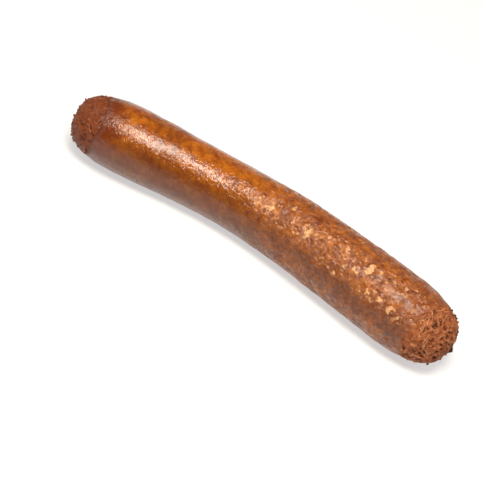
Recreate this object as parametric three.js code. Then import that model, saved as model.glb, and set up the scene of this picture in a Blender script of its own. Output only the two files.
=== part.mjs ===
// One grilled sausage, lying on its side.
//
// The coarse minced filling runs from end to end and bulges out of both ends of the
// casing, which is a thin tube with open, uneven rims. Millimetres, +Z up. X runs along
// the sausage, the sausage bows towards +Y, and it rests on z = 0 on a narrow flat.
import * as THREE from "three";

// Driving dimensions.
const LENGTH = 164; // tip to tip
const BOW = 7; // how far its even curve stands off the line through the tips
const BEND = { depth: 3.2, at: 0.44, reach: 0.4 }; // a sharper bend on top, in shares of the length
const REST_DEPTH = 0.5; // how much the soft underside is pressed flat
const CASING_WALL = 0.4;
const CASING_GAP = 0.3; // between the casing and the filling, so that the solids stay apart
const SIDES = 40;

// Share of the length from the -X tip, and the radius there: a waist and a thicker +X end.
const GIRTH = [
  [0.0, 13.4],
  [0.15, 13.1],
  [0.36, 12.15],
  [0.62, 13.2],
  [0.84, 13.75],
  [1.0, 13.5],
];

// Each end: how far its rounded cap reaches from the tip, how far the casing's rim stays
// back from the tip, how much the rim slants and at which angle round the sausage it stays
// back most (0 is up, a quarter turn is +Y), and how far the filling swells out of it.
const START = { cap: 23, rim: 8.3, slant: 2.8, slantAt: -0.96, swell: 0.25 };
const END = { cap: 23, rim: 8.6, slant: 2.8, slantAt: -1.35, swell: 0.35 };
const RIM_WAVE = 0.5; // uneven edge of the casing
const RIM_BLEND = 14; // how far from the rim its unevenness dies away
const CAP_CURVE = 2; // both 2 make an ellipse
const CAP_BLUNTNESS = 3.2; // more is flatter at the tip

// Low swellings of the body, and the smaller lumps of the bare filling.
const BODY_LUMP = 0.13;
const FILLING_LUMP = 0.28;

// The filling starts to swell this far outside the rim, and has swollen fully here.
const BARE_FROM = 0.8;
const BARE_FULL = 4.5;

const girth = new THREE.SplineCurve(
  GIRTH.map(([share, radius]) => new THREE.Vector2(share * LENGTH, radius)),
);
const GIRTH_STEPS = 200;
const girthPoints = girth.getPoints(GIRTH_STEPS);

// Radius of the body at the distance s from the -X tip, before the ends are rounded off.
function bodyRadius(s) {
  let i = 1;
  while (i < GIRTH_STEPS && girthPoints[i].x < s) i += 1;
  const [a, b] = [girthPoints[i - 1], girthPoints[i]];
  return THREE.MathUtils.mapLinear(s, a.x, b.x, a.y, b.y);
}

// 1 on the body, falling to 0 at the tip, as an ellipse does.
function capShare(s) {
  const toTip = Math.min(s / START.cap, (LENGTH - s) / END.cap);
  if (toTip >= 1) return 1;
  const inward = 1 - Math.max(toTip, 0);
  return Math.pow(1 - Math.pow(inward, CAP_CURVE), 1 / CAP_BLUNTNESS);
}

const outerRadius = (s) => bodyRadius(s) * capShare(s);

// Stations from one distance to another, closer together towards both ends.
function stations(from, to, count) {
  const list = [];
  for (let i = 0; i <= count; i += 1) {
    const share = (1 - Math.cos((Math.PI * i) / count)) / 2;
    list.push(THREE.MathUtils.lerp(from, to, share));
  }
  return list;
}

// How far the spine stands towards +Y at the distance s.
function spineY(s) {
  const fromMiddle = (2 * s) / LENGTH - 1;
  const fromBend = THREE.MathUtils.clamp((s / LENGTH - BEND.at) / BEND.reach, -1, 1);
  const bend = (BEND.depth / 2) * (1 + Math.cos(Math.PI * fromBend));
  return BOW * (1 - fromMiddle * fromMiddle) + bend;
}

// The angle by which the spine leans away from X there.
const spineLean = (s) => Math.atan2(spineY(s + 1) - spineY(s - 1), 2);

// Moves a rim along the sausage by a different amount at each angle round it.
function rimShift(s, angle) {
  const near = (end, distance) => {
    const fade = Math.max(0, 1 - Math.abs(distance - end.rim) / RIM_BLEND);
    const slant = end.slant * Math.cos(angle - end.slantAt);
    const wave = RIM_WAVE * Math.sin(5 * angle + end.cap);
    return fade * fade * (slant + wave);
  };
  return near(START, s) - near(END, LENGTH - s);
}

// Low unevenness of a surface, between -1 and 1, that joins up round the sausage.
function lumps(s, angle, fineness) {
  const along = (s * fineness) / 9;
  return (
    (Math.sin(along + 2 * Math.sin(angle)) +
      Math.sin(1.7 * along - 3 * angle) * Math.cos(2 * angle + 0.4 * along)) /
    2
  );
}

// Turns a profile round the spine: a lathe's solid, laid along X, made uneven, bent
// along the spine and pressed flat where it lies. floor is the lowest height it may reach.
function turned(profile, floor, wobble, shift) {
  const geometry = new THREE.LatheGeometry(profile, SIDES);
  geometry.deleteAttribute("uv");
  geometry.deleteAttribute("normal");
  const at = geometry.attributes.position;
  const p = new THREE.Vector3();
  for (let i = 0; i < at.count; i += 1) {
    p.fromBufferAttribute(at, i);
    const angle = Math.atan2(-p.x, p.z);
    const s = p.y + shift(p.y, angle);
    const below = outerRadius(p.y) - Math.hypot(p.x, p.z);
    const radius = outerRadius(s) - below + wobble(s, angle);
    const side = radius * Math.sin(angle);
    const up = radius * Math.cos(angle);
    const lean = spineLean(s);
    const height = up + bodyRadius(s) - REST_DEPTH;
    at.setXYZ(
      i,
      s - LENGTH / 2 - side * Math.sin(lean),
      spineY(s) + side * Math.cos(lean),
      Math.max(height, floor),
    );
  }
  return geometry;
}

const bodyWobble = (s, angle) =>
  BODY_LUMP * lumps(s, angle, 1) * capShare(s);

// A tube: out along its outer face and back along its inner face.
function casing() {
  const outer = stations(START.rim, LENGTH - END.rim, 40);
  const inner = stations(START.rim, LENGTH - END.rim, 30).reverse();
  const profile = [
    ...outer.map((s) => new THREE.Vector2(outerRadius(s), s)),
    ...inner.map((s) => new THREE.Vector2(outerRadius(s) - CASING_WALL, s)),
  ];
  profile.push(profile[0].clone());
  const geometry = turned(profile, 0, bodyWobble, rimShift);
  // The inner face stays a wall's thickness above the flat that the outer one rests on.
  const at = geometry.attributes.position;
  const rows = profile.length;
  for (let i = 0; i < at.count; i += 1) {
    const row = i % rows;
    const isInner = row >= outer.length && row < rows - 1;
    if (isInner) at.setZ(i, Math.max(at.getZ(i), CASING_WALL));
  }
  return geometry;
}

// A closed body from tip to tip: a constant depth below the casing's outer face, and
// swelling out past the casing's rims into lumpy caps.
function filling() {
  const depth = CASING_WALL + CASING_GAP;
  const inner = stations(0, LENGTH, 50).slice(1, -1);
  const profile = [
    new THREE.Vector2(0, 0),
    ...inner.map((s) => new THREE.Vector2(outerRadius(s) - depth, s)),
    new THREE.Vector2(0, LENGTH),
  ];
  // How far a place is past the casing's rim: 0 under the casing, 1 well outside it.
  const bare = (s, angle) => {
    const startRim = START.rim + rimShift(START.rim, angle);
    const endRim = LENGTH - END.rim + rimShift(LENGTH - END.rim, angle);
    const past = Math.max(startRim - s, s - endRim);
    return THREE.MathUtils.smoothstep(past, BARE_FROM, BARE_FULL);
  };
  const wobble = (s, angle) => {
    const swell = depth + (s < LENGTH / 2 ? START.swell : END.swell);
    const lump = FILLING_LUMP * lumps(s, angle, 4);
    return bodyWobble(s, angle) + (swell + lump) * bare(s, angle) * capShare(s);
  };
  return turned(profile, depth, wobble, () => 0);
}

function piece(name, geometry, color, roughness) {
  const material = new THREE.MeshStandardMaterial({ color, roughness, metalness: 0 });
  const mesh = new THREE.Mesh(geometry, material);
  mesh.name = name;
  return mesh;
}

const sausage = new THREE.Group();
sausage.add(piece("casing", casing(), 0xa2561c, 0.3));
sausage.add(piece("filling", filling(), 0x8a4a2c, 0.85));

// The origin is under the middle of the whole sausage, on the surface it lies on.
const box = new THREE.Box3().setFromObject(sausage);
const middle = box.getCenter(new THREE.Vector3());
for (const mesh of sausage.children) {
  mesh.position.set(-middle.x, -middle.y, -box.min.z);
}

export default sausage;
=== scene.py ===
"""The looks of one grilled sausage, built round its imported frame.

The sausage lies along X and bows towards +Y. A browned, glossy casing covers the coarse
minced filling, which comes out of both ends of the casing in rough domes. Everything is
in metres, in the frame's own axes.
"""

import math

import bpy
from mathutils import Matrix, Vector


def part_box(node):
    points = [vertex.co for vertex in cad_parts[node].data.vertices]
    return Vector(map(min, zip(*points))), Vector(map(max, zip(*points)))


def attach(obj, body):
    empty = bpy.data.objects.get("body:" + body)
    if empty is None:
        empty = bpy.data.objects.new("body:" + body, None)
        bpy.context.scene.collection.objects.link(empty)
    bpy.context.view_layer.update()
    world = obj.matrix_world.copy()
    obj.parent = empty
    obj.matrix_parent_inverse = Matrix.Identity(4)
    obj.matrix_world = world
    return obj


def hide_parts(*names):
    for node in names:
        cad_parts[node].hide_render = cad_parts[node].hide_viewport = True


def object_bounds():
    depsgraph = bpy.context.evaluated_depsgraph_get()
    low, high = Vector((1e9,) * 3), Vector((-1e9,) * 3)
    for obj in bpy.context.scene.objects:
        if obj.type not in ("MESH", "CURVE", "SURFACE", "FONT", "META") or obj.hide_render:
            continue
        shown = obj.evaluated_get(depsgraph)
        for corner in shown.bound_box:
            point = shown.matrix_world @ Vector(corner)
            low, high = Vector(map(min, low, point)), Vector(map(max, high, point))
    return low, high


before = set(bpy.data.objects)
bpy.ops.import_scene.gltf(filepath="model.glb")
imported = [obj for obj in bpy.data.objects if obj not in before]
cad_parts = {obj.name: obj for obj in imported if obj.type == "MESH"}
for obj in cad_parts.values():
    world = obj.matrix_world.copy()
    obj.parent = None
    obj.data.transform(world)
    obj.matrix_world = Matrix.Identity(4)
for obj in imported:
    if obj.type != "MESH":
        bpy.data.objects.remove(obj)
cad_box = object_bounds()

MM = 0.001
TURN = 2 * math.pi

casing_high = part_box("casing")[1]
filling_low, filling_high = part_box("filling")

# The body, as the frame has it: its length, how far its even curve and a sharper bend on
# top of it stand off the line through the tips, and how far the soft underside is pressed
# flat. The bend's middle and reach are shares of the length from the -X tip.
LENGTH = filling_high.x - filling_low.x - 0.7 * MM  # its blunt tips lean past its ends
BOW = 0.0426 * LENGTH
BEND = 0.0195 * LENGTH
BEND_AT, BEND_REACH = 0.44, 0.4
REST_DEPTH = 0.5 * MM
THICKEST = (casing_high.z + REST_DEPTH) / 2

# Share of the length from the -X tip, and the radius there as a share of the thickest.
GIRTH = [(0.0, 0.975), (0.15, 0.953), (0.36, 0.884), (0.62, 0.96), (0.84, 1.0), (1.0, 0.982)]
BEND_GIRTH = 0.9
SPINE_Y = casing_high.y - BEND_GIRTH * THICKEST - 0.99 * (BOW + BEND)

# Each end: how far its rounded cap reaches from the tip, how far the casing's rim stays
# back from the tip, how much the rim slants, and the angle round the sausage at which it
# stays back most (0 is up, a quarter turn is +Y).
START_CAP, END_CAP = 23 * MM, 23 * MM
START_RIM, END_RIM = 8.3 * MM, 8.6 * MM
START_SLANT, END_SLANT = 2.8 * MM, 2.8 * MM
START_SLANT_AT, END_SLANT_AT = -0.96, -1.35
CAP_CURVE = 2.0  # both 2 make an ellipse
CAP_BLUNTNESS = 3.2  # more is flatter at the tip

FULLNESS = 0.25 * MM  # the soft skin stands out past the frame's solids by this much

# The coarse mince: its grains and crumbs, the breaks in its strings, and its hollows.
GRAIN = 2.4 * MM
CRUMB = 1.3 * MM
GRIT = 0.55 * MM
STRING_BREAK = 1.5 * MM
HOLLOW = 2.8 * MM
HOLLOW_DEPTH = 1.9  # as a multiple of the relief's height

# The dark -X end's looks give way to those of the +X end between these places along X.
CHANGE_FROM, CHANGE_TO = -20 * MM, 20 * MM

# Pieces keep this far above the surface that the sausage lies on.
SKIN_FLOOR = 0.3 * MM  # the casing's inner face
FILLING_FLOOR = 0.05 * MM
CRUMB_FLOOR = 0.02 * MM


# ---------------------------------------------------------------- node trees


class Graph:
    """Adds nodes to one tree, geometry or shader, and joins them up."""

    def __init__(self, tree):
        self.tree = tree

    def set(self, socket, value):
        if isinstance(value, bpy.types.NodeSocket):
            self.tree.links.new(value, socket)
        elif value is not None:
            socket.default_value = value

    def node(self, kind, inputs=None, **settings):
        node = self.tree.nodes.new(kind)
        for name, value in settings.items():
            setattr(node, name, value)
        for name, value in (inputs or {}).items():
            self.set(node.inputs[name], value)
        return node

    def math(self, operation, *values, clamp=False):
        node = self.node("ShaderNodeMath", operation=operation, use_clamp=clamp)
        for socket, value in zip(node.inputs, values):
            self.set(socket, value)
        return node.outputs[0]

    def vector(self, operation, *values):
        node = self.node("ShaderNodeVectorMath", operation=operation)
        for socket, value in zip(node.inputs, values):
            self.set(socket, value)
        return node.outputs["Value" if operation in ("LENGTH", "DOT_PRODUCT") else "Vector"]

    def scaled(self, vector, factor):
        node = self.node("ShaderNodeVectorMath", {"Vector": vector, "Scale": factor}, operation="SCALE")
        return node.outputs["Vector"]

    def combine(self, x, y, z):
        return self.node("ShaderNodeCombineXYZ", {"X": x, "Y": y, "Z": z}).outputs[0]

    def separate(self, vector):
        return self.node("ShaderNodeSeparateXYZ", {"Vector": vector}).outputs

    def ramp(self, value, low, high, to_low=0.0, to_high=1.0, smooth=True):
        """value taken from low..high to to_low..to_high, and held there outside."""
        kind = "SMOOTHSTEP" if smooth else "LINEAR"
        inputs = {"Value": value, "From Min": low, "From Max": high}
        inputs.update({"To Min": to_low, "To Max": to_high})
        return self.node("ShaderNodeMapRange", inputs, interpolation_type=kind).outputs[0]

    def mix(self, factor, a, b):
        node = self.node("ShaderNodeMix", data_type="FLOAT")
        for index, value in ((0, factor), (2, a), (3, b)):
            self.set(node.inputs[index], value)
        return node.outputs[0]

    def blend(self, factor, a, b, kind="MIX"):
        """Two colours mixed."""
        node = self.node("ShaderNodeMix", data_type="RGBA", blend_type=kind)
        for index, value in ((0, factor), (6, a), (7, b)):
            self.set(node.inputs[index], value)
        return node.outputs[2]

    def noise(self, vector, size, detail=2.0, seed=0.0, roughness=0.5, colour=False):
        """Soft noise between 0 and 1, whose lumps are about size across."""
        inputs = {"Vector": vector, "W": seed, "Scale": 1 / size}
        inputs.update({"Detail": detail, "Roughness": roughness})
        node = self.node("ShaderNodeTexNoise", inputs, noise_dimensions="4D")
        return node.outputs["Color" if colour else 0]

    def cells(self, vector, size, feature="F1", seed=0.0, smoothness=0.4):
        """Distance to the middle of the nearest cell (or to its edge), as a share of size."""
        inputs = {"Vector": vector, "W": seed, "Scale": 1 / size}
        if feature == "SMOOTH_F1":
            inputs["Smoothness"] = smoothness
        node = self.node("ShaderNodeTexVoronoi", inputs, voronoi_dimensions="4D", feature=feature)
        return node.outputs["Distance"]

    def random(self, low, high, seed):
        """A different value for each point, between low and high: numbers or vectors."""
        is_vector = isinstance(low, (tuple, list))
        kind = "FLOAT_VECTOR" if is_vector else "FLOAT"
        node = self.node("FunctionNodeRandomValue", data_type=kind)
        first = 0 if is_vector else 2
        for index, value in ((first, low), (first + 1, high), (8, seed)):
            self.set(node.inputs[index], value)
        return node.outputs[0 if is_vector else 1]

    def group(self, tree, inputs):
        kind = "GeometryNodeGroup" if tree.bl_idname == "GeometryNodeTree" else "ShaderNodeGroup"
        node = self.tree.nodes.new(kind)
        node.node_tree = tree
        for name, value in inputs.items():
            self.set(node.inputs[name], value)
        return node.outputs


def new_group(name, kind, inputs, outputs):
    """A node group with named sockets. Gives the tree, its graph, inputs and results."""
    tree = bpy.data.node_groups.new(name, kind)
    for label, (socket, default) in inputs.items():
        made = tree.interface.new_socket(label, in_out="INPUT", socket_type="NodeSocket" + socket)
        if default is not None:
            made.default_value = default
    for label, socket in outputs.items():
        tree.interface.new_socket(label, in_out="OUTPUT", socket_type="NodeSocket" + socket)
    given = tree.nodes.new("NodeGroupInput").outputs
    result = tree.nodes.new("NodeGroupOutput").inputs
    return tree, Graph(tree), given, result


# ------------------------------------------------ the body's rule, for every piece

BODY_SIZES = {
    "Length": ("Float", LENGTH),
    "Bow": ("Float", BOW),
    "Bend": ("Float", BEND),
    "Thickest Radius": ("Float", THICKEST + FULLNESS),
    "Start Cap": ("Float", START_CAP),
    "End Cap": ("Float", END_CAP),
}


def body_surface_group():
    """The place on the body at a distance from the -X tip and an angle round it."""
    inputs = {"Distance": ("Float", 0.0), "Angle": ("Float", 0.0), "Depth": ("Float", 0.0)}
    tree, g, given, result = new_group(
        "Body Surface", "GeometryNodeTree", {**inputs, **BODY_SIZES}, {"Position": "Vector"}
    )
    distance, length = given["Distance"], given["Length"]
    share = g.math("DIVIDE", distance, length)
    curve = g.node("ShaderNodeFloatCurve", {"Value": share})
    line = curve.mapping.curves[0]
    line.points[0].location = GIRTH[0]
    line.points[1].location = GIRTH[-1]
    for at in GIRTH[1:-1]:
        line.points.new(*at)
    curve.mapping.update()
    girth = g.math("MULTIPLY", curve.outputs[0], given["Thickest Radius"])

    # The caps: the radius falls to nothing at the tips.
    from_start = g.math("DIVIDE", distance, given["Start Cap"])
    from_end = g.math("DIVIDE", g.math("SUBTRACT", length, distance), given["End Cap"])
    to_tip = g.math("MINIMUM", from_start, from_end, clamp=True)
    inward = g.math("POWER", g.math("SUBTRACT", 1.0, to_tip), CAP_CURVE)
    cap = g.math("POWER", g.math("SUBTRACT", 1.0, inward, clamp=True), 1 / CAP_BLUNTNESS)
    depth = g.math("MULTIPLY", given["Depth"], g.ramp(cap, 0.0, 0.5))
    radius = g.math("SUBTRACT", g.math("MULTIPLY", girth, cap), depth)
    radius = g.math("MAXIMUM", radius, 0.0)

    # The spine: an even curve and the bend, and how both make it lean away from X.
    from_middle = g.math("MULTIPLY_ADD", share, 2.0, -1.0)
    curve_off = g.math("SUBTRACT", 1.0, g.math("MULTIPLY", from_middle, from_middle))
    from_bend = g.ramp(share, BEND_AT - BEND_REACH, BEND_AT + BEND_REACH, -math.pi, math.pi, False)
    bend_off = g.math("MULTIPLY_ADD", g.math("COSINE", from_bend), 0.5, 0.5)
    spine_y = g.math("MULTIPLY_ADD", curve_off, given["Bow"], SPINE_Y)
    spine_y = g.math("MULTIPLY_ADD", bend_off, given["Bend"], spine_y)
    curve_fall = g.math("MULTIPLY", g.math("MULTIPLY", from_middle, given["Bow"]), 4.0)
    bend_fall = g.math("MULTIPLY", g.math("SINE", from_bend), given["Bend"])
    fall = g.math("MULTIPLY_ADD", bend_fall, math.pi / (2 * BEND_REACH), curve_fall)
    lean = g.math("ARCTANGENT", g.math("DIVIDE", g.math("MULTIPLY", fall, -1.0), length))

    side = g.math("MULTIPLY", radius, g.math("SINE", given["Angle"]))
    up = g.math("MULTIPLY", radius, g.math("COSINE", given["Angle"]))
    x = g.math("SUBTRACT", distance, g.math("MULTIPLY", length, 0.5))
    x = g.math("SUBTRACT", x, g.math("MULTIPLY", side, g.math("SINE", lean)))
    y = g.math("MULTIPLY_ADD", side, g.math("COSINE", lean), spine_y)
    z = g.math("SUBTRACT", g.math("ADD", up, girth), REST_DEPTH)
    g.set(result["Position"], g.combine(x, y, z))
    return tree


def rims_group():
    """Where the casing's two rims run, as distances from the -X tip, at an angle round it."""
    inputs = {"Angle": ("Float", 0.0), "Length": ("Float", LENGTH), "Raggedness": ("Float", 1.6 * MM)}
    tree, g, given, result = new_group(
        "Casing Rims", "GeometryNodeTree", inputs, {"Start": "Float", "End": "Float"}
    )
    angle = given["Angle"]
    circle = g.combine(g.math("COSINE", angle), g.math("SINE", angle), 0.0)

    def rim(back, slant, at, seed):
        slanted = g.math("MULTIPLY", g.math("COSINE", g.math("SUBTRACT", angle, at)), slant)
        wave = g.math("SUBTRACT", g.noise(circle, 0.45, 6.0, seed, 0.72), 0.5)
        torn = g.math("MULTIPLY", wave, g.math("MULTIPLY", given["Raggedness"], 3.0))
        return g.math("ADD", g.math("ADD", slanted, back), torn)

    g.set(result["Start"], rim(START_RIM, START_SLANT, START_SLANT_AT, 1.0))
    end = rim(END_RIM, END_SLANT, END_SLANT_AT, 2.0)
    g.set(result["End"], g.math("SUBTRACT", given["Length"], end))
    return tree


def mince_relief_group():
    """How high the minced meat stands at a place, and where its pits and strands are."""
    inputs = {"Position": ("Vector", None), "Grain": ("Float", GRAIN)}
    outputs = {"Height": "Float", "Pit": "Float", "Strand": "Float"}
    tree, g, given, result = new_group("Mince Relief", "GeometryNodeTree", inputs, outputs)
    at = g.scaled(given["Position"], g.math("DIVIDE", GRAIN, given["Grain"]))
    twist = g.vector("SUBTRACT", g.noise(at, 2.2 * MM, 3.0, 3.0, colour=True), (0.5, 0.5, 0.5))
    twisted = g.vector("ADD", at, g.scaled(twist, 2.4 * MM))
    crumbs = g.ramp(g.cells(twisted, CRUMB, "SMOOTH_F1", 4.0, 0.25), 0.08, 0.6, 0.65, -0.65)
    grit = g.math("SUBTRACT", g.noise(twisted, GRIT, 3.0, 6.0, 0.65), 0.5)
    # Strings of meat run round the hollows between the coarser grains.
    edge = g.cells(twisted, GRAIN, "DISTANCE_TO_EDGE", 5.0)
    string = g.ramp(edge, 0.015, 0.1, 1.0, 0.0)
    broken = g.ramp(g.noise(at, STRING_BREAK, 2.0, 8.0), 0.46, 0.62)
    string = g.math("MULTIPLY", string, broken)
    hollow = g.ramp(g.noise(at, HOLLOW, 3.0, 7.0, 0.6), 0.46, 0.58)
    pit = g.math("MULTIPLY", hollow, g.ramp(edge, 0.08, 0.26))
    height = g.math("MULTIPLY_ADD", grit, 1.2, crumbs)
    height = g.math("MULTIPLY_ADD", string, 0.35, height)
    g.set(result["Height"], g.math("MULTIPLY_ADD", pit, -HOLLOW_DEPTH, height))
    g.set(result["Pit"], pit)
    g.set(result["Strand"], string)
    return tree


def grid_angle(g, rows, around):
    """A grid to be rolled up: its mesh, its share along 0..1 and its angle 0..a turn."""
    inputs = {"Size X": 1.0, "Size Y": 1.0, "Vertices X": rows, "Vertices Y": around}
    grid = g.node("GeometryNodeMeshGrid", inputs)
    place = g.separate(g.node("GeometryNodeInputPosition").outputs[0])
    along = g.math("ADD", place["X"], 0.5)
    angle = g.math("MULTIPLY", g.math("ADD", place["Y"], 0.5), TURN)
    return grid.outputs["Mesh"], along, angle


def store(g, geometry, name, value):
    inputs = {"Geometry": geometry, "Name": name, "Value": value}
    return g.node("GeometryNodeStoreNamedAttribute", inputs, data_type="FLOAT").outputs[0]


def stored(g, name):
    return g.node("GeometryNodeInputNamedAttribute", {"Name": name}, data_type="FLOAT").outputs[0]


def moved(g, geometry, position=None, offset=None):
    inputs = {"Geometry": geometry, "Position": position, "Offset": offset}
    return g.node("GeometryNodeSetPosition", inputs).outputs[0]


def raised(g, geometry, height):
    """geometry with every point moved out along its normal by height."""
    normal = g.node("GeometryNodeInputNormal").outputs[0]
    return moved(g, geometry, offset=g.scaled(normal, height))


def kept_above(g, geometry, floor):
    place = g.separate(g.node("GeometryNodeInputPosition").outputs[0])
    z = g.math("MAXIMUM", place["Z"], floor)
    return moved(g, geometry, position=g.combine(place["X"], place["Y"], z))


def merged(g, geometry):
    inputs = {"Geometry": geometry, "Distance": 0.001 * MM}
    return g.node("GeometryNodeMergeByDistance", inputs).outputs[0]


def finished(g, result, geometry, material):
    """The end of every tree: smooth, real, and in its material."""
    smooth = g.node("GeometryNodeSetShadeSmooth", {"Geometry": geometry}).outputs[0]
    real = g.node("GeometryNodeRealizeInstances", {"Geometry": smooth}).outputs[0]
    dressed = g.node("GeometryNodeSetMaterial", {"Geometry": real, "Material": material}).outputs[0]
    g.set(result["Geometry"], dressed)


def sizes_from(given, names=BODY_SIZES):
    return {name: given[name] for name in names}


def casing_tree(material):
    """A tube from rim to rim: out along its outer face and back along its inner face."""
    inputs = {
        **BODY_SIZES,
        "Outer Rows": ("Int", 330),
        "Inner Rows": ("Int", 44),
        "Around": ("Int", 236),
        "Wall": ("Float", 0.45 * MM),
        "Swelling": ("Float", 0.65 * MM),
        "Dimples": ("Float", 0.6 * MM),
        "Crinkles": ("Float", 0.17 * MM),
        "Puckers": ("Float", 1.1 * MM),
        "Cling": ("Float", 0.16 * MM),
        "Seed": ("Float", 11.0),
    }
    tree, g, given, result = new_group(
        "Casing", "GeometryNodeTree", inputs, {"Geometry": "Geometry"}
    )
    rows = g.math("ADD", given["Outer Rows"], given["Inner Rows"])
    mesh, along, angle = grid_angle(
        g, g.math("ADD", rows, 1.0), g.math("ADD", given["Around"], 1.0)
    )
    turn_back = g.math("DIVIDE", given["Outer Rows"], rows)
    out = g.math("DIVIDE", along, turn_back, clamp=True)
    to_seam = g.math("SUBTRACT", 1.0, along)
    back = g.math("DIVIDE", to_seam, g.math("SUBTRACT", 1.0, turn_back), clamp=True)
    share = g.math("MINIMUM", out, back)
    half_row = g.math("DIVIDE", 0.5, rows)
    inner = g.math(
        "MULTIPLY",
        g.math("GREATER_THAN", along, g.math("ADD", turn_back, half_row)),
        g.math("LESS_THAN", along, g.math("SUBTRACT", 1.0, half_row)),
    )
    rims = g.group(rims_tree, {"Angle": angle, "Length": given["Length"]})
    distance = g.mix(share, rims["Start"], rims["End"])
    to_start = g.math("SUBTRACT", distance, rims["Start"])
    to_end = g.math("SUBTRACT", rims["End"], distance)
    mesh = store(g, mesh, "from_rim", g.math("DIVIDE", g.math("MINIMUM", to_start, to_end), MM))
    mesh = store(g, mesh, "outer", g.math("SUBTRACT", 1.0, inner))
    mesh = store(g, mesh, "side", g.math("SINE", angle))  # -1 at the front, 1 at the back
    surface = {
        "Distance": distance,
        "Angle": angle,
        "Depth": g.math("MULTIPLY", inner, given["Wall"]),
        **sizes_from(given),
    }
    mesh = moved(g, mesh, position=g.group(surface_tree, surface)["Position"])
    mesh = merged(g, mesh)

    # Relief of the outer face.
    at = g.node("GeometryNodeInputPosition").outputs[0]
    seed = given["Seed"]

    def bumps(vector, size, amount, detail, extra=0.0, roughness=0.5):
        value = g.noise(vector, size, detail, g.math("ADD", seed, extra), roughness)
        return g.math("MULTIPLY", g.math("SUBTRACT", value, 0.5), amount)

    across = g.vector("MULTIPLY", at, (1.0, 0.3, 0.3))
    lengthwise = g.vector("MULTIPLY", at, (0.2, 1.0, 1.0))
    near_rim = g.ramp(stored(g, "from_rim"), 0.0, 12.0, 1.0, 0.0)
    # The +X half is more dimpled: there the skin follows the coarse meat below it.
    x = g.separate(at)["X"]
    dimples = g.math("MULTIPLY", given["Dimples"], g.ramp(x, -30 * MM, 15 * MM, 0.45, 1.0))
    height = bumps(at, 12 * MM, given["Swelling"], 1.0)
    height = g.math("ADD", height, bumps(at, 4.2 * MM, dimples, 2.0, 1.0))
    height = g.math("ADD", height, bumps(across, 1.5 * MM, given["Crinkles"], 2.0, 2.0))
    fold = bumps(lengthwise, 2.8 * MM, given["Puckers"], 2.0, 3.0)
    height = g.math("ADD", height, g.math("MULTIPLY", fold, g.math("POWER", near_rim, 3.0)))
    # Near a rim the skin thins out, and clings to the coarse meat below it.
    cling = g.group(relief_tree, {"Position": at})["Height"]
    cling = g.math("MULTIPLY", cling, given["Cling"])
    cling = g.math("MULTIPLY", cling, g.ramp(stored(g, "from_rim"), 0.0, 4.5, 1.0, 0.0))
    thinner = g.ramp(stored(g, "from_rim"), 0.4, 2.2, -0.3 * MM, 0.0)
    height = g.math("ADD", g.math("ADD", height, cling), thinner)
    mesh = raised(g, mesh, g.math("MULTIPLY", height, stored(g, "outer")))
    # The inner face stays above the flat that the outer one rests on.
    floor = g.math("MULTIPLY", g.math("SUBTRACT", 1.0, stored(g, "outer")), SKIN_FLOOR)
    finished(g, result, kept_above(g, mesh, floor), material)
    return tree


def filling_tree(material):
    """A closed body from tip to tip, with crumbly ends where it is out of the casing."""
    inputs = {
        **BODY_SIZES,
        "Rows": ("Int", 280),
        "Around": ("Int", 300),
        "Fine End": ("Float", 16 * MM),
        "Under Casing": ("Float", 0.7 * MM),
        "Swell": ("Float", 0.12 * MM),
        "Relief": ("Float", 0.46 * MM),
        "Grain": ("Float", GRAIN),
    }
    tree, g, given, result = new_group(
        "Filling", "GeometryNodeTree", inputs, {"Geometry": "Geometry"}
    )
    mesh, along, angle = grid_angle(
        g, g.math("ADD", given["Rows"], 1.0), g.math("ADD", given["Around"], 1.0)
    )
    # Most rows are in the two ends, and closest together at the tips.
    fine = given["Fine End"]
    middle = g.math("MULTIPLY_ADD", fine, -2.0, given["Length"])
    in_start = g.ramp(along, 0.0, 0.46, 0.0, 1.0, False)
    in_end = g.ramp(along, 0.54, 1.0, 1.0, 0.0, False)
    distance = g.math("MULTIPLY", g.math("POWER", in_start, 2.6), fine)
    distance = g.math("MULTIPLY_ADD", g.ramp(along, 0.46, 0.54, 0.0, 1.0, False), middle, distance)
    last = g.math("SUBTRACT", 1.0, g.math("POWER", in_end, 2.6))
    distance = g.math("MULTIPLY_ADD", last, fine, distance)
    rims = g.group(rims_tree, {"Angle": angle, "Length": given["Length"]})
    past_start = g.math("SUBTRACT", rims["Start"], distance)
    past_end = g.math("SUBTRACT", distance, rims["End"])
    past = g.math("DIVIDE", g.math("MAXIMUM", past_start, past_end), MM)
    mesh = store(g, mesh, "past_rim", past)
    swell = g.math("MULTIPLY", given["Swell"], -1.0)
    surface = {
        "Distance": distance,
        "Angle": angle,
        "Depth": g.mix(g.ramp(past, -2.0, -0.7), given["Under Casing"], swell),
        **sizes_from(given),
    }
    mesh = moved(g, mesh, position=g.group(surface_tree, surface)["Position"])
    mesh = merged(g, mesh)
    at = g.node("GeometryNodeInputPosition").outputs[0]
    relief = g.group(relief_tree, {"Position": at, "Grain": given["Grain"]})
    bare = g.ramp(stored(g, "past_rim"), -2.0, -0.6)
    # The -X end shrank and hardened more, so it is less open.
    bare = g.math("MULTIPLY", bare, g.ramp(g.separate(at)["X"], CHANGE_FROM, CHANGE_TO, 0.62, 1.0))
    for name, output in (("pit", "Pit"), ("strand", "Strand"), ("relief", "Height")):
        mesh = store(g, mesh, name, g.math("MULTIPLY", relief[output], bare))
    mesh = raised(g, mesh, g.math("MULTIPLY", stored(g, "relief"), given["Relief"]))
    finished(g, result, kept_above(g, mesh, FILLING_FLOOR), material)
    return tree


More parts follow.
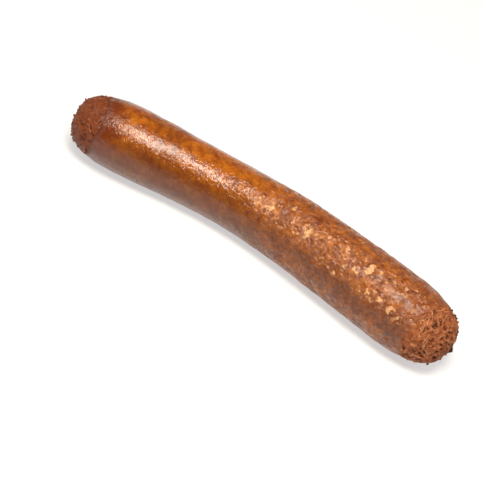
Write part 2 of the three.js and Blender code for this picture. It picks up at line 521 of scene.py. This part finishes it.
def spread_over(g, given, weight):
    """The ground object's mesh, and points on it, thickest where weight is 1."""
    ground = g.node("GeometryNodeObjectInfo", {"Object": given["Ground"]}).outputs["Geometry"]
    inputs = {
        "Mesh": ground,
        "Distance Min": given["Apart"],
        "Density Max": given["Density"],
        "Density Factor": weight,
        "Seed": given["Seed"],
    }
    kind = "GeometryNodeDistributePointsOnFaces"
    return ground, g.node(kind, inputs, distribute_method="POISSON").outputs


def turned_locally(g, rotation, euler):
    by = g.node("FunctionNodeEulerToRotation", {"Euler": euler}).outputs[0]
    inputs = {"Rotation": rotation, "Rotate By": by}
    return g.node("FunctionNodeRotateRotation", inputs, rotation_space="LOCAL").outputs[0]


def lumps_tree(material):
    """Small uneven lumps or flakes that stand on the ground object, past the casing's rim."""
    inputs = {
        "Ground": ("Object", None),
        "From": ("Float", -1.1),
        "To": ("Float", 40.0),
        "Density": ("Float", 1.6e5),
        "Apart": ("Float", 1.2 * MM),
        "Smallest": ("Float", 0.6 * MM),
        "Largest": ("Float", 1.6 * MM),
        "Flatness": ("Float", 0.5),
        "Lean": ("Float", 0.3),
        "Unevenness": ("Float", 0.35 * MM),
        "Side": ("Vector", (0.0, 0.0, 1.0)),
        "Least Facing": ("Float", -2.0),
        "Seed": ("Int", 3),
    }
    tree, g, given, result = new_group(
        "Scattered Lumps", "GeometryNodeTree", inputs, {"Geometry": "Geometry"}
    )
    past = stored(g, "past_rim")
    after = g.math("GREATER_THAN", past, given["From"])
    before = g.math("LESS_THAN", past, given["To"])
    place = g.node("GeometryNodeInputPosition").outputs[0]
    clusters = g.ramp(g.noise(place, 4 * MM, 2.0, 51.0), 0.4, 0.6, 0.15, 1.0)
    normal = g.node("GeometryNodeInputNormal").outputs[0]
    facing = g.vector("DOT_PRODUCT", normal, given["Side"])
    on_side = g.math("GREATER_THAN", facing, given["Least Facing"])
    weight = g.math("MULTIPLY", g.math("MULTIPLY", after, before), clusters)
    weight = g.math("MULTIPLY", weight, on_side)
    points = spread_over(g, given, weight)[1]
    seed = given["Seed"]
    size = g.random(given["Smallest"], given["Largest"], seed)
    narrow = g.math("MULTIPLY", size, g.random(0.5, 1.0, g.math("ADD", seed, 1.0)))
    thin = g.math("MULTIPLY", size, given["Flatness"])
    lean = given["Lean"]
    back = g.math("MULTIPLY", lean, -1.0)
    tilt = g.random(g.combine(back, back, 0.0), g.combine(lean, lean, TURN), g.math("ADD", seed, 2.0))
    lump = g.node("GeometryNodeMeshIcoSphere", {"Radius": 0.5, "Subdivisions": 3}).outputs["Mesh"]
    inputs = {
        "Points": points["Points"],
        "Instance": lump,
        "Rotation": turned_locally(g, points["Rotation"], tilt),
        "Scale": g.combine(size, narrow, thin),
    }
    lumps = g.node("GeometryNodeInstanceOnPoints", inputs).outputs[0]
    lumps = g.node("GeometryNodeRealizeInstances", {"Geometry": lumps}).outputs[0]
    at = g.node("GeometryNodeInputPosition").outputs[0]
    push = g.vector("SUBTRACT", g.noise(at, 0.7 * MM, 2.0, 52.0, colour=True), (0.5, 0.5, 0.5))
    lumps = moved(g, lumps, offset=g.scaled(push, given["Unevenness"]))
    finished(g, result, kept_above(g, lumps, CRUMB_FLOOR), material)
    return tree


def strands_tree(material):
    """Thin strings of meat that lie on the ground object, round it near the casing's rim."""
    inputs = {
        "Ground": ("Object", None),
        "Density": ("Float", 9e4),
        "Apart": ("Float", 0.9 * MM),
        "Shortest": ("Float", 2.0 * MM),
        "Longest": ("Float", 5.5 * MM),
        "Bend": ("Float", 3.4 * MM),
        "Thickness": ("Float", 0.26 * MM),
        "Seed": ("Int", 9),
    }
    tree, g, given, result = new_group(
        "Meat Strands", "GeometryNodeTree", inputs, {"Geometry": "Geometry"}
    )
    past = stored(g, "past_rim")
    by_rim = g.math("MULTIPLY", g.ramp(past, -1.3, -0.9), g.ramp(past, 0.6, 2.2, 1.0, 0.3))
    # The -X end is more closed, and shows few of them.
    x = g.separate(g.node("GeometryNodeInputPosition").outputs[0])["X"]
    weight = g.math("MULTIPLY", by_rim, g.ramp(x, CHANGE_FROM, CHANGE_TO, 0.2, 1.0))
    ground, points = spread_over(g, given, weight)
    seed = given["Seed"]
    # Near the rim a string runs round the sausage, farther out it lies any way.
    round_body = g.vector("CROSS_PRODUCT", points["Normal"], (1.0, 0.0, 0.0))
    inputs = {"Rotation": points["Rotation"], "Vector": round_body}
    kind = "FunctionNodeAlignRotationToVector"
    laid = g.node(kind, inputs, axis="X", pivot_axis="Z").outputs[0]
    spread = g.ramp(stored(g, "past_rim"), 1.0, 3.0, 0.45, 1.6)
    turn = g.math("MULTIPLY", g.random(-1.0, 1.0, seed), spread)
    laid = turned_locally(g, laid, g.combine(0.0, 0.0, turn))
    ends = {"Start": (-0.5, 0.0, 0.0), "End": (0.5, 0.0, 0.0)}
    line = g.node("GeometryNodeCurvePrimitiveLine", ends).outputs[0]
    line = g.node("GeometryNodeResampleCurve", {"Curve": line, "Count": 18}).outputs[0]
    length = g.random(given["Shortest"], given["Longest"], g.math("ADD", seed, 1.0))
    inputs = {
        "Points": points["Points"],
        "Instance": line,
        "Rotation": laid,
        "Scale": g.combine(length, length, length),
    }
    strings = g.node("GeometryNodeInstanceOnPoints", inputs).outputs[0]
    strings = g.node("GeometryNodeRealizeInstances", {"Geometry": strings}).outputs[0]
    at = g.node("GeometryNodeInputPosition").outputs[0]
    sway = g.vector("SUBTRACT", g.noise(at, 2.6 * MM, 2.0, 61.0, colour=True), (0.5, 0.5, 0.5))
    strings = moved(g, strings, offset=g.scaled(sway, given["Bend"]))
    on_ground = g.node("GeometryNodeProximity", {"Geometry": ground}, target_element="FACES")
    strings = moved(g, strings, position=on_ground.outputs["Position"])
    normal = g.node("GeometryNodeInputNormal").outputs[0]
    kind = "GeometryNodeSampleNearestSurface"
    sampled = g.node(kind, {"Mesh": ground}, data_type="FLOAT_VECTOR")
    g.set(sampled.inputs["Value"], normal)
    out = g.scaled(sampled.outputs["Value"], g.math("MULTIPLY", given["Thickness"], 0.3))
    strings = moved(g, strings, offset=out)
    along = g.node("GeometryNodeSplineParameter").outputs["Factor"]
    taper = g.math("SINE", g.math("MULTIPLY_ADD", along, 0.9 * math.pi, 0.05 * math.pi))
    inputs = {"Curve": strings, "Radius": taper}
    strings = g.node("GeometryNodeSetCurveRadius", inputs).outputs[0]
    radius = g.math("MULTIPLY", given["Thickness"], 0.5)
    inputs = {"Radius": radius, "Resolution": 6}
    ring = g.node("GeometryNodeCurvePrimitiveCircle", inputs).outputs["Curve"]
    inputs = {"Curve": strings, "Profile Curve": ring, "Fill Caps": True}
    tubes = g.node("GeometryNodeCurveToMesh", inputs).outputs[0]
    finished(g, result, kept_above(g, tubes, CRUMB_FLOOR), material)
    return tree


def made_by(tree, name, values=None):
    """Runs a geometry tree on an empty mesh and gives the result as a plain object."""
    seedling = bpy.data.objects.new(name + "_maker", bpy.data.meshes.new(name + "_maker"))
    bpy.context.scene.collection.objects.link(seedling)
    modifier = seedling.modifiers.new("Maker", "NODES")
    modifier.node_group = tree
    named = {s.name: s.identifier for s in tree.interface.items_tree if s.in_out == "INPUT"}
    for label, value in (values or {}).items():
        modifier[named[label]] = value
    graph = bpy.context.evaluated_depsgraph_get()
    mesh = bpy.data.meshes.new_from_object(seedling.evaluated_get(graph))
    mesh.name = name
    piece = bpy.data.objects.new(name, mesh)
    bpy.context.scene.collection.objects.link(piece)
    bpy.data.objects.remove(seedling)
    return piece


# ------------------------------------------------------------------- materials


def colour(red, green, blue):
    """A colour as seen on a screen, 0 to 255, as the linear one that shaders take."""

    def linear(value):
        share = value / 255
        return share / 12.92 if share <= 0.04045 else ((share + 0.055) / 1.055) ** 2.4

    return (linear(red), linear(green), linear(blue), 1.0)


def mottle_group():
    """Patches, blotches and specks that browning leaves on meat."""
    tree, g, given, result = new_group(
        "Browned Mottle",
        "ShaderNodeTree",
        {"Vector": ("Vector", None), "Seed": ("Float", 0.0)},
        {"Patches": "Float", "Blotches": "Float", "Specks": "Float", "Flecks": "Float"},
    )
    at, seed = given["Vector"], given["Seed"]
    twist = g.vector("SUBTRACT", g.noise(at, 9 * MM, 2.0, seed, colour=True), (0.5, 0.5, 0.5))
    twisted = g.vector("ADD", at, g.scaled(twist, 5 * MM))
    g.set(result["Patches"], g.ramp(g.noise(twisted, 16 * MM, 2.0, seed), 0.38, 0.64))
    blotches = g.noise(twisted, 3.0 * MM, 5.0, g.math("ADD", seed, 2.0), 0.7)
    g.set(result["Blotches"], g.ramp(blotches, 0.36, 0.66))
    specks = g.noise(at, 0.9 * MM, 2.0, g.math("ADD", seed, 4.0), 0.5)
    clusters = g.noise(at, 7 * MM, 2.0, g.math("ADD", seed, 5.0))
    specks = g.math("MULTIPLY", g.ramp(specks, 0.62, 0.72), g.ramp(clusters, 0.4, 0.6))
    g.set(result["Specks"], specks)
    flecks = g.noise(twisted, 1.5 * MM, 3.0, g.math("ADD", seed, 7.0), 0.55)
    g.set(result["Flecks"], g.ramp(flecks, 0.57, 0.72))
    return tree


def skin_relief_group():
    """Fine crinkles across the sausage and the grain of the meat under its skin."""
    tree, g, given, result = new_group(
        "Skin Relief",
        "ShaderNodeTree",
        {"Vector": ("Vector", None), "Pebbles": ("Float", 0.0), "Seed": ("Float", 0.0)},
        {"Height": "Float"},
    )
    at, seed = given["Vector"], given["Seed"]
    across = g.vector("MULTIPLY", at, (1.0, 0.3, 0.3))
    crinkle = g.noise(across, 0.7 * MM, 3.0, seed, 0.6)
    grain = g.noise(at, 1.1 * MM, 3.0, g.math("ADD", seed, 3.0), 0.6)
    pebble = g.noise(at, 1.7 * MM, 2.0, g.math("ADD", seed, 6.0), 0.5)
    height = g.math("MULTIPLY_ADD", crinkle, 0.9, grain)
    g.set(result["Height"], g.math("MULTIPLY_ADD", pebble, given["Pebbles"], height))
    return tree


def new_material(name):
    """A material, its graph, its shader and its Object coordinates."""
    material = bpy.data.materials.new(name)
    material.use_nodes = True
    tree = material.node_tree
    g = Graph(tree)
    shader = tree.nodes["Principled BSDF"]
    at = g.node("ShaderNodeTexCoord").outputs["Object"]
    return material, g, shader, at


def attribute(g, name):
    return g.node("ShaderNodeAttribute", attribute_name=name).outputs["Fac"]


def bump(g, shader, height, distance):
    inputs = {"Height": height, "Distance": distance, "Strength": 1.0}
    g.set(shader.inputs["Normal"], g.node("ShaderNodeBump", inputs).outputs[0])


def let_light_in(shader, weight, spread, depth):
    """Makes a surface a little see-through, with the spread of red, green and blue light."""
    shader.inputs["Subsurface Weight"].default_value = weight
    shader.inputs["Subsurface Radius"].default_value = spread
    shader.inputs["Subsurface Scale"].default_value = depth


def start_share(g, at):
    """1 at the -X end of the sausage, 0 at its +X end."""
    return g.ramp(g.separate(at)["X"], CHANGE_FROM, CHANGE_TO, 1.0, 0.0)


def casing_material():
    """Browned, glossy, slightly see-through skin: amber and orange-brown with dark blotches."""
    material, g, shader, at = new_material("Browned Casing")
    place = g.separate(at)
    mottle = g.group(mottle_tree, {"Vector": at, "Seed": 21.0})
    amber = colour(168, 92, 18)
    chestnut = colour(118, 54, 8)
    umber = colour(84, 34, 6)
    golden = colour(196, 126, 48)
    charred = colour(60, 24, 6)
    painted_shade_brown = colour(80, 36, 6)
    reddish = colour(98, 38, 8)
    painted_glint = colour(236, 180, 124)
    look = g.blend(mottle["Blotches"], amber, chestnut)
    look = g.blend(g.math("MULTIPLY", mottle["Patches"], 0.35), look, umber)
    look = g.blend(g.math("MULTIPLY", mottle["Flecks"], 0.35), look, golden)
    look = g.blend(g.math("MULTIPLY", mottle["Specks"], 0.6), look, charred)
    # The +X half is browner in blotches. Lower down, painted shade makes the skin darker,
    # but less so on the underside of that half, where the floor's light falls.
    far = g.ramp(place["X"], -10 * MM, 20 * MM)
    browned = g.math("MULTIPLY_ADD", mottle["Blotches"], 0.3, 0.14)
    look = g.blend(g.math("MULTIPLY", far, browned), look, umber)
    low = g.ramp(place["Z"], 16 * MM, 24.5 * MM, 1.0, 0.0)
    shade_lifted_below = g.math("MULTIPLY", far, g.ramp(place["Z"], 11 * MM, 18 * MM, 0.9, 0.0))
    low = g.math("MULTIPLY", low, g.math("SUBTRACT", 1.0, shade_lifted_below))
    look = g.blend(g.math("MULTIPLY", low, 0.62), look, painted_shade_brown)
    # Towards the -X end the skin is dark and reddish, and a torn rim is pale.
    from_rim = attribute(g, "from_rim")
    start = g.ramp(place["X"], 0.0, 20 * MM, 1.0, 0.0)
    wander = g.math("MULTIPLY_ADD", mottle["Blotches"], -2.2, from_rim)
    dark_end = g.ramp(wander, 1.0, 13.0, 1.0, 0.0)
    dark_end = g.math("MULTIPLY", dark_end, g.math("MULTIPLY_ADD", start, 0.65, 0.25))
    look = g.blend(dark_end, look, reddish)
    meaty = g.ramp(wander, 0.0, 2.4, 1.0, 0.0)
    meat_colour = g.blend(start, colour(138, 70, 28), colour(98, 42, 12))
    look = g.blend(g.math("MULTIPLY", meaty, 0.85), look, meat_colour)
    # Painted highlight: pale cream flecks stand in for glints of the broken gloss,
    # high on the front of the +X half.
    glint_flecks = g.ramp(g.noise(at, 2.1 * MM, 4.0, 36.0, 0.6), 0.535, 0.61)
    more_at_end = g.ramp(place["X"], 20 * MM, 60 * MM, 0.0, 0.07)
    clusters = g.math("ADD", g.noise(at, 6.0 * MM, 2.0, 37.0), more_at_end)
    glint_flecks = g.math("MULTIPLY", glint_flecks, g.ramp(clusters, 0.43, 0.55))
    glint_flecks = g.math("MULTIPLY", glint_flecks, g.ramp(place["Z"], 18.5 * MM, 21 * MM))
    glint_flecks = g.math("MULTIPLY", glint_flecks, g.ramp(attribute(g, "side"), -0.32, -0.08, 1.0, 0.0))
    glint_flecks = g.math("MULTIPLY", glint_flecks, g.ramp(place["X"], -16 * MM, 4 * MM))
    look = g.blend(g.math("MULTIPLY", glint_flecks, 0.62), look, painted_glint)
    g.set(shader.inputs["Base Color"], look)
    pebbles = g.ramp(place["X"], -25 * MM, 20 * MM, 0.4, 4.6)
    relief = g.group(relief_shader_tree, {"Vector": at, "Pebbles": pebbles, "Seed": 31.0})
    bump(g, shader, relief["Height"], 0.3 * MM)
    rough = g.ramp(mottle["Blotches"], 0.0, 1.0, 0.08, 0.16)
    # Fat lies on the +X half only here and there.
    greasy = g.ramp(g.noise(at, 1.9 * MM, 3.0, 33.0, 0.6), 0.48, 0.55)
    matt = g.math("MULTIPLY", g.math("SUBTRACT", 1.0, greasy), g.ramp(place["X"], -14 * MM, 6 * MM))
    rough = g.mix(matt, rough, 0.6)
    g.set(shader.inputs["Roughness"], g.mix(g.math("MULTIPLY", meaty, 0.8), rough, 0.6))
    shader.inputs["Specular IOR Level"].default_value = 0.5
    shader.inputs["Coat Weight"].default_value = 0.12
    shader.inputs["Coat Roughness"].default_value = 0.1
    let_light_in(shader, 0.15, (1.0, 0.35, 0.12), 1.2 * MM)
    return material


def mince_material():
    """Cooked coarse mince: matt, brown, dark in its pits, paler on its strings."""
    material, g, shader, at = new_material("Coarse Mince")
    mottle = g.group(mottle_tree, {"Vector": at, "Seed": 41.0})
    light_meat, dark_meat = colour(150, 84, 44), colour(104, 50, 24)
    fatty, charred, hardened = colour(194, 126, 76), colour(60, 26, 14), colour(104, 44, 10)
    sinewy, shaded = colour(214, 154, 112), colour(64, 24, 10)
    look = g.blend(mottle["Blotches"], light_meat, dark_meat)
    look = g.blend(g.math("MULTIPLY", mottle["Flecks"], 0.4), look, fatty)
    look = g.blend(g.math("MULTIPLY", mottle["Specks"], 0.6), look, charred)
    start = start_share(g, at)
    look = g.blend(g.math("MULTIPLY", start, 0.84), look, hardened)
    strand = g.math("MULTIPLY", attribute(g, "strand"), g.ramp(start, 0.0, 1.0, 0.36, 0.1))
    look = g.blend(strand, look, sinewy)
    # Painted shade darkens the pits.
    look = g.blend(g.math("MULTIPLY", attribute(g, "pit"), 0.85), look, shaded)
    # Next to the skin the meat has taken on its colour.
    by_skin = g.ramp(attribute(g, "past_rim"), -1.0, 1.2, 0.55, 0.0)
    look = g.blend(by_skin, look, g.blend(start, colour(150, 78, 26), colour(102, 44, 10)))
    g.set(shader.inputs["Base Color"], look)
    grain = g.noise(at, 0.5 * MM, 3.0, 50.0, 0.6)
    bump(g, shader, grain, 0.2 * MM)
    g.set(shader.inputs["Roughness"], g.ramp(mottle["Flecks"], 0.0, 1.0, 0.6, 0.34))
    shader.inputs["Specular IOR Level"].default_value = 0.2
    g.set(shader.inputs["Coat Weight"], g.math("MULTIPLY", start, 0.16))
    shader.inputs["Coat Roughness"].default_value = 0.16
    let_light_in(shader, 0.12, (1.0, 0.4, 0.2), 1.0 * MM)
    return material


def strand_material():
    """Pale sinew, a little see-through."""
    material, g, shader, at = new_material("Pale Strands")
    mottle = g.group(mottle_tree, {"Vector": at, "Seed": 61.0})
    look = g.blend(mottle["Blotches"], colour(206, 146, 106), colour(164, 96, 62))
    start = start_share(g, at)
    look = g.blend(g.math("MULTIPLY", start, 0.7), look, colour(122, 58, 34))
    g.set(shader.inputs["Base Color"], look)
    shader.inputs["Roughness"].default_value = 0.4
    let_light_in(shader, 0.15, (1.0, 0.5, 0.3), 0.5 * MM)
    return material


def charred_material():
    """Dark crisp flakes of skin and meat."""
    material, g, shader, at = new_material("Charred Flakes")
    mottle = g.group(mottle_tree, {"Vector": at, "Seed": 71.0})
    look = g.blend(mottle["Blotches"], colour(74, 38, 20), colour(40, 20, 12))
    g.set(shader.inputs["Base Color"], look)
    shader.inputs["Roughness"].default_value = 0.75
    shader.inputs["Specular IOR Level"].default_value = 0.2
    return material


def floor_material():
    material, _, shader, _ = new_material("Pale Floor")
    shader.inputs["Base Color"].default_value = (0.42, 0.42, 0.42, 1.0)
    shader.inputs["Roughness"].default_value = 0.6
    shader.inputs["Specular IOR Level"].default_value = 0.2
    shader.inputs["Emission Color"].default_value = (1.0, 1.0, 1.0, 1.0)
    shader.inputs["Emission Strength"].default_value = 0.55
    return material


# ---------------------------------------------------------------------- pieces

surface_tree = body_surface_group()
rims_tree = rims_group()
relief_tree = mince_relief_group()
mottle_tree = mottle_group()
relief_shader_tree = skin_relief_group()

skin = casing_material()
meat = mince_material()
sinew = strand_material()
char = charred_material()


def add_casing():
    casing = made_by(casing_tree(skin), "casing_skin")
    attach(casing, "root")
    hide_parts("casing")


def add_filling():
    filling = made_by(filling_tree(meat), "minced_filling")
    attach(filling, "root")
    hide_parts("filling")
    return filling


def add_crumbs(filling):
    crumbs = made_by(lumps_tree(meat), "mince_crumbs", {"Ground": filling})
    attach(crumbs, "root")


def add_strands(filling):
    strands = made_by(strands_tree(sinew), "meat_strands", {"Ground": filling})
    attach(strands, "root")


def add_flakes(filling):
    sizes = {
        "Ground": filling,
        "From": -1.0,
        "To": 7.0,
        "Density": 8e4,
        "Apart": 2.2 * MM,
        "Smallest": 0.8 * MM,
        "Largest": 2.4 * MM,
        "Flatness": 0.3,
        "Lean": 1.4,
        "Unevenness": 0.7 * MM,
        "Side": (-0.1, 0.7, -0.7),
        "Least Facing": -0.3,
        "Seed": 15,
    }
    flakes = made_by(lumps_tree(char), "charred_flakes", sizes)
    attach(flakes, "root")


# ------------------------------------------------------------ floor, light, camera


def add_floor():
    half = 3.0
    mesh = bpy.data.meshes.new("floor")
    corners = [(-half, -half, 0), (half, -half, 0), (half, half, 0), (-half, half, 0)]
    mesh.from_pydata(corners, [], [(0, 1, 2, 3)])
    mesh.materials.append(floor_material())
    floor = bpy.data.objects.new("floor", mesh)
    bpy.context.scene.collection.objects.link(floor)


def add_light(name, place, aim, width, depth, power, tint=(1.0, 1.0, 1.0)):
    """A rectangular lamp with its width along X as nearly as it can be."""
    lamp = bpy.data.lights.new(name, "AREA")
    lamp.shape = "RECTANGLE"
    lamp.size = width
    lamp.size_y = depth
    lamp.energy = power
    lamp.color = tint
    light = bpy.data.objects.new(name, lamp)
    look = (Vector(aim) - Vector(place)).normalized()
    right = Vector((1, 0, 0)) - look * look.x
    facing = Matrix((right.normalized(), right.normalized().cross(look), -look)).transposed()
    light.matrix_world = Matrix.Translation(place) @ facing.to_4x4()
    bpy.context.scene.collection.objects.link(light)


def add_studio():
    """A dark ceiling over a horizon that is bright at the back, a cream softbox above the
    front, plain lights at both sides, and a faint golden panel by the softbox."""
    world = bpy.data.worlds.new("studio")
    world.use_nodes = True
    g = Graph(world.node_tree)
    background = world.node_tree.nodes["Background"]
    direction = g.separate(g.node("ShaderNodeTexCoord").outputs["Generated"])
    horizon = g.ramp(direction["Y"], -0.2, 0.4, 0.2, 0.42)
    strength = g.mix(g.ramp(direction["Z"], 0.08, 0.4), horizon, 0.14)
    g.set(background.inputs["Strength"], strength)
    background.inputs["Color"].default_value = (1.0, 0.92, 0.82, 1.0)
    bpy.context.scene.world = world
    start, end = (-0.04, 0.0, 0.0), (0.04, 0.0, 0.0)
    softbox_at, softbox_aim, cream = (0.03, -0.16, 0.5), (0.03, 0.0, 0.0), (1.0, 0.95, 0.84)
    add_light("softbox", softbox_at, softbox_aim, width=0.26, depth=0.19, power=4.2, tint=cream)
    add_light("right_light", (0.52, 0.02, 0.48), end, width=0.36, depth=0.36, power=0.8)
    add_light("left_light", (-0.6, 0.0, 0.45), start, width=0.36, depth=0.36, power=0.8)
    golden = (1.0, 0.72, 0.36)
    add_light("warm_panel", (-0.19, -0.13, 0.5), end, width=0.16, depth=0.2, power=0.11, tint=golden)
    view = bpy.context.scene.view_settings
    view.view_transform = "Standard"


# The camera looks down on the sausage from in front and from beside its +X end, a little
# rolled. It is 26.8 thicknesses of 26 mm away.
CAMERA_TURN = math.radians(16.7)
CAMERA_ELEVATION = math.radians(43.2)
CAMERA_ROLL = math.radians(20.8)
CAMERA_DISTANCE = 26.8 * 26 * MM
CAMERA_LENS = 141.4
SAUSAGE_RIGHT_OF_AIM = 9.0 * MM
SAUSAGE_ABOVE_AIM = 7.75 * MM


def add_camera():
    flat = Vector((-math.sin(CAMERA_TURN), math.cos(CAMERA_TURN), 0.0))
    look = flat * math.cos(CAMERA_ELEVATION) - Vector((0, 0, math.sin(CAMERA_ELEVATION)))
    level_right = look.cross(Vector((0, 0, 1))).normalized()
    level_up = level_right.cross(look)
    turn = Matrix.Rotation(-CAMERA_ROLL, 3, look)
    right = turn @ level_right
    up = turn @ level_up
    centre = (cad_box[0] + cad_box[1]) / 2
    aim = centre - right * SAUSAGE_RIGHT_OF_AIM - up * SAUSAGE_ABOVE_AIM
    camera = bpy.data.objects.new("camera", bpy.data.cameras.new("camera"))
    camera.data.lens = CAMERA_LENS
    camera.data.clip_start = 0.01
    facing = Matrix((right, up, -look)).transposed()
    camera.matrix_world = Matrix.Translation(aim - look * CAMERA_DISTANCE) @ facing.to_4x4()
    bpy.context.scene.collection.objects.link(camera)
    bpy.context.scene.camera = camera


add_casing()
minced = add_filling()
add_crumbs(minced)
add_strands(minced)
add_flakes(minced)
add_floor()
add_studio()
add_camera()

bpy.context.view_layer.update()
